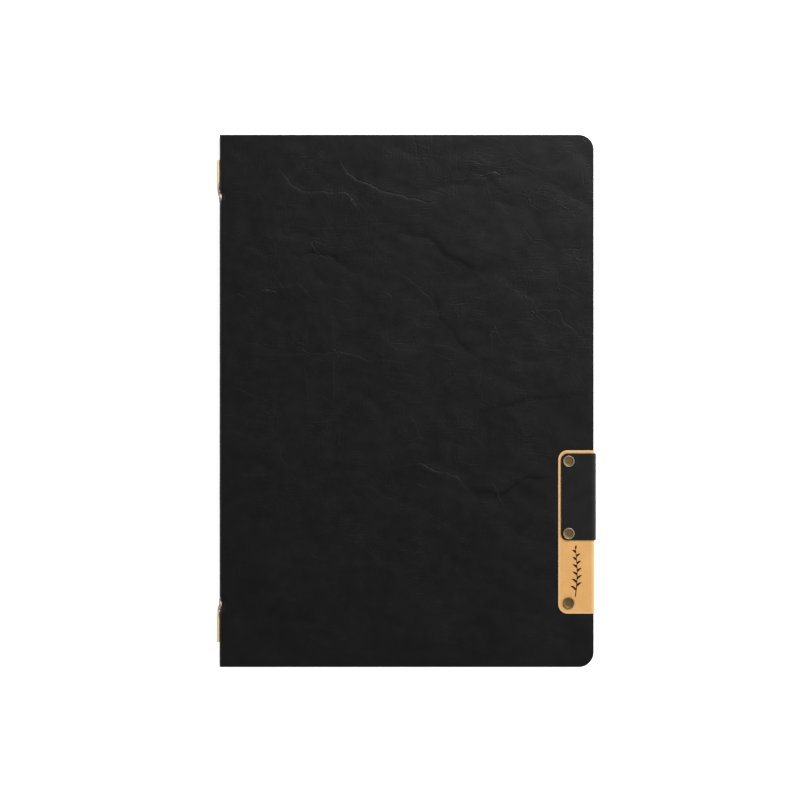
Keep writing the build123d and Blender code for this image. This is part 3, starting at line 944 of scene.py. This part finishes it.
def eyelet(end):
    """A rolled flange with a skirt, the barrel, and the end rolled over the washer."""
    low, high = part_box(f"eyelet_{end}")
    centre = (0, (low.y + high.y) / 2, (low.z + high.z) / 2)
    flange = (high.y - low.y) / 2
    bore, barrel = 1.4 * MM, 1.7 * MM
    washer_low, washer_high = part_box(f"eyelet_washer_{end}")
    curl = 2.2 * MM
    crown = low.x - 0.15 * MM
    skirt = SPINE_X + EYELET_SEAT + 0.2 * MM
    profile = [
        (bore, SPINE_X + 0.1 * MM), (bore + 0.1 * MM, SPINE_X - 0.05 * MM),
        (0.55 * flange, crown + 0.2 * MM), (0.66 * flange, crown + 0.04 * MM),
        (0.76 * flange, crown), (0.88 * flange, crown + 0.07 * MM),
        (0.97 * flange, crown + 0.3 * MM), (flange, SPINE_X + 0.2 * MM), (flange, skirt),
        (0.92 * flange, skirt + 0.05 * MM), (barrel, skirt + 0.05 * MM), (barrel, washer_high.x),
        (curl - 0.1 * MM, washer_high.x), (curl, washer_high.x + 0.08 * MM),
        (0.9 * curl, high.x - 0.03 * MM), (0.8 * curl, high.x), (bore + 0.1 * MM, high.x - 0.05 * MM),
        (bore, high.x - 0.15 * MM),
    ]
    polish = [0.3, 0.5, 0.6, 0.8, 1.0, 1.0, 0.8, 0.6, 0.5, 0.4, 0.2, 0.2, 0.4, 0.8, 1.0, 1.0, 0.7, 0.4]
    turned(f"eyelet_{end}_ring", profile[::-1], polish[::-1], centre, False, eyelet_brass,
           "spine", [f"eyelet_{end}"])
    outer = (washer_high.y - washer_low.y) / 2
    hole = barrel + 0.05 * MM
    profile = [
        (hole, washer_low.x), (hole, washer_high.x), (outer - 0.06 * MM, washer_high.x),
        (outer, washer_high.x - 0.06 * MM), (outer, washer_low.x),
    ]
    turned(f"eyelet_{end}_washer", profile, [0.4, 0.6, 1.0, 0.8, 0.4], centre, False, eyelet_brass,
           "spine", [f"eyelet_washer_{end}"])


eyelet("top")
eyelet("bottom")


# ------------------------------------ binding strap

def binding_strap():
    """One strap: a broad tail at each end of the spine, and a narrow lace through both eyelets.

    Half of it is worked out, from the upper tail's end to the middle, and then mirrored.
    """
    tail_end = STRAP_HIGH.y
    tail = SPINE_X - STRAP_LOW.x
    wide = STRAP_HIGH.z - STRAP_LOW.z
    lace_x = STRAP_HIGH.x - 0.8 * MM
    soft, tight, inner = 30 * MM, 1.5 * MM, 1.0 * MM
    lean = 5.0
    run = tail_end - EYE_Y - soft * math.sin(math.radians(lean)) - tight
    dip = soft * (1 - math.cos(math.radians(lean)))
    turn_x = SPINE_X - 0.78 * MM + tight
    path = Path(
        (SPINE_X - tail / 2, tail_end), -90, run, (soft, lean), (tight, 90 - lean),
        max(lace_x - inner - turn_x - dip, 0.2 * MM), (inner, -90), EYE_Y - inner,
    )
    lace_start = path.length - (EYE_Y - inner)
    s = np.concatenate([
        [0, 0.08 * MM, 0.25 * MM], spread(0.6 * MM, run, 0.8 * MM),
        spread(run + 0.3 * MM, lace_start, 0.25 * MM),
        spread(lace_start + 3 * MM, path.length, 6 * MM),
    ])
    x, y, nx, ny = path.at(s)
    thin = step_between(s, run - 7 * MM, run + 2.6 * MM)
    flat = step_between(s, run - 3 * MM, run + 3.2 * MM)
    lace = step_between(s, path.length - EYE_Y, path.length - EYE_Y + 4 * MM)
    half_width = (wide / 2) * (1 - thin) + (1.15 * (1 - lace) + 0.9 * lace) * MM * thin
    half_thick = (tail / 2) * (1 - flat) + (0.24 * (1 - lace) + 0.7 * lace) * MM * flat
    bevel = np.ones_like(s)
    bevel[:3] = [0.9, 0.96, 0.99]
    lift = (tail / 2 - half_thick) * (1 - step_between(s, run - 3 * MM, run))
    around, power = 28, 0.4
    angles = np.linspace(0, 2 * math.pi, around, endpoint=False)
    c, d = (np.copysign(np.abs(v) ** power, v) for v in (np.cos(angles), np.sin(angles)))
    across = (half_thick * bevel)[:, None] * d
    up = (half_width * bevel)[:, None] * c
    at_x = (x + lift)[:, None] + nx[:, None] * across
    at_y = y[:, None] + ny[:, None] * across
    rings = np.stack([at_x, at_y, MID_Z + up], -1)
    mirrored = rings[::-1][1:] * [1, -1, 1]
    points = np.concatenate([rings, mirrored]).reshape(-1, 3)
    last = 2 * len(s) - 2
    faces = []
    for k in range(0, last * around, around):
        for j in range(around):
            n = (j + 1) % around
            faces.append((k + j, k + n, k + around + n, k + around + j))
    faces.append(tuple(range(around))[::-1])
    faces.append(tuple(last * around + j for j in range(around)))
    piece = mesh_object("lacing_strap", points, faces, strap_leather)
    store(piece, "rest", points)
    store(piece, "edge", np.full(len(points), 1.0))
    store(piece, "wear_and_highlight", np.zeros(len(points)))
    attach(piece, "spine")
    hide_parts("binding_strap")


binding_strap()


# ------------------------------------ paper

def leaf(sheet, side):
    """Half of a folded sheet: a leaf, its fold, and half of the back of the fold."""
    low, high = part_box(f"{sheet}_sheet_right")
    left_low, left_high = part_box(f"{sheet}_sheet_left")
    thickness = high.z - low.z
    width = high.x - low.x
    radius, hole = 0.6 * MM, 1.5 * MM
    if side == "right":
        way, base_z, slope = -1, low.z, 0.0
    else:
        way, base_z = 1, left_high.z
        slope = math.degrees(math.asin((left_high.z - left_low.z - thickness) / width))
    straight = abs(base_z - MID_Z) - radius
    turn = -way * (90 + slope)
    path = Path((low.x, MID_Z), 90 * way, straight, (radius, turn), width - radius)
    holes = [end * EYE_Y + hole * math.sin(a) for end in (-1, 1) for a in np.linspace(-1.57, 1.57, 15)]
    rows = rows_between(low.y, high.y, 12 * MM, 0, 0.06 * MM, extra=holes)
    away = np.abs(np.abs(rows) - EYE_Y)
    inset = np.sqrt(np.maximum(hole ** 2 - away ** 2, 0))
    columns = columns_along(
        0, 0.3 * MM, straight, 0.12 * MM, straight + radius * math.pi / 2, 10 * MM, path.length,
        bevel_high=0.06 * MM,
    )
    piece = bent_sheet(
        f"{sheet}_leaf_{side}", path, way, thickness, paper_stock, rows, columns, 0.05 * MM,
        inset_low=inset, reach_low=straight + 0.001 * MM, seam_low=True,
    )
    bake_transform(piece)
    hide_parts(f"{sheet}_sheet_{side}")


for sheet_name in ("outer", "middle", "inner"):
    for side_name in ("left", "right"):
        leaf(sheet_name, side_name)


# ------------------------------------ CAD nodes that stay

def finish_node(node, material):
    """Gives a CAD node a procedural material in place of its plain one."""
    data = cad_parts[node].data
    data.materials.clear()
    data.materials.append(material)


for node_name in ("front_lining", "back_lining", "spine_lining"):
    finish_node(node_name, lining_cloth)
for node_name in ("front_board", "back_board", "spine_stiffener"):
    finish_node(node_name, board_stock)


# ------------------------------------ floor, light and camera

def floor():
    size = 6.0
    corners = [(-size, -size, 0), (size, -size, 0), (size, size, 0), (-size, size, 0)]
    piece = mesh_object("floor", corners, [(0, 1, 2, 3)], pale_floor(), smooth=False)


def softbox(name, place_at, target, size, power):
    """An area light that points at a target."""
    light = bpy.data.lights.new(name, "AREA")
    light.shape = "RECTANGLE"
    light.size, light.size_y = size
    light.energy = power
    lamp = bpy.data.objects.new(name, light)
    bpy.context.scene.collection.objects.link(lamp)
    lamp.location = place_at
    lamp.rotation_euler = (Vector(target) - Vector(place_at)).to_track_quat("-Z", "Y").to_euler()


def camera():
    """Straight above the closed cover, far off, with the cover a little right of the middle."""
    lens, sensor, view_width = 150.0, 36.0, 480.9 * MM
    aim = Vector((COVER_X - 3.97 * MM, 0.54 * MM, TOP_Z))
    data = bpy.data.cameras.new("camera")
    data.lens, data.sensor_width = lens, sensor
    data.clip_start, data.clip_end = 0.05, 20.0
    eye = bpy.data.objects.new("camera", data)
    eye.location = aim + Vector((0, 0, view_width * lens / sensor))
    bpy.context.scene.collection.objects.link(eye)
    bpy.context.scene.camera = eye


def sky(strength):
    world = bpy.data.worlds.new("studio")
    world.use_nodes = True
    background = world.node_tree.nodes["Background"]
    background.inputs["Color"].default_value = (1, 1, 1, 1)
    background.inputs["Strength"].default_value = strength
    bpy.context.scene.world = world


floor()
sky(0.14)
softbox("key", (0.42, 0.62, 0.80), (0.05, 0.02, 0.0), (0.45, 0.35), 12.0)
softbox("left_fill", (-1.5, 0.3, 0.75), (0.0, 0.0, 0.0), (0.8, 2.0), 6.5)
softbox("right_fill", (1.5, -0.1, 0.75), (0.0, 0.0, 0.0), (0.8, 2.0), 15.0)
softbox("low_fill", (0.0, -1.5, 0.7), (0.0, 0.0, 0.0), (2.0, 0.8), 8.0)
camera()
bpy.context.scene.view_settings.view_transform = "Standard"
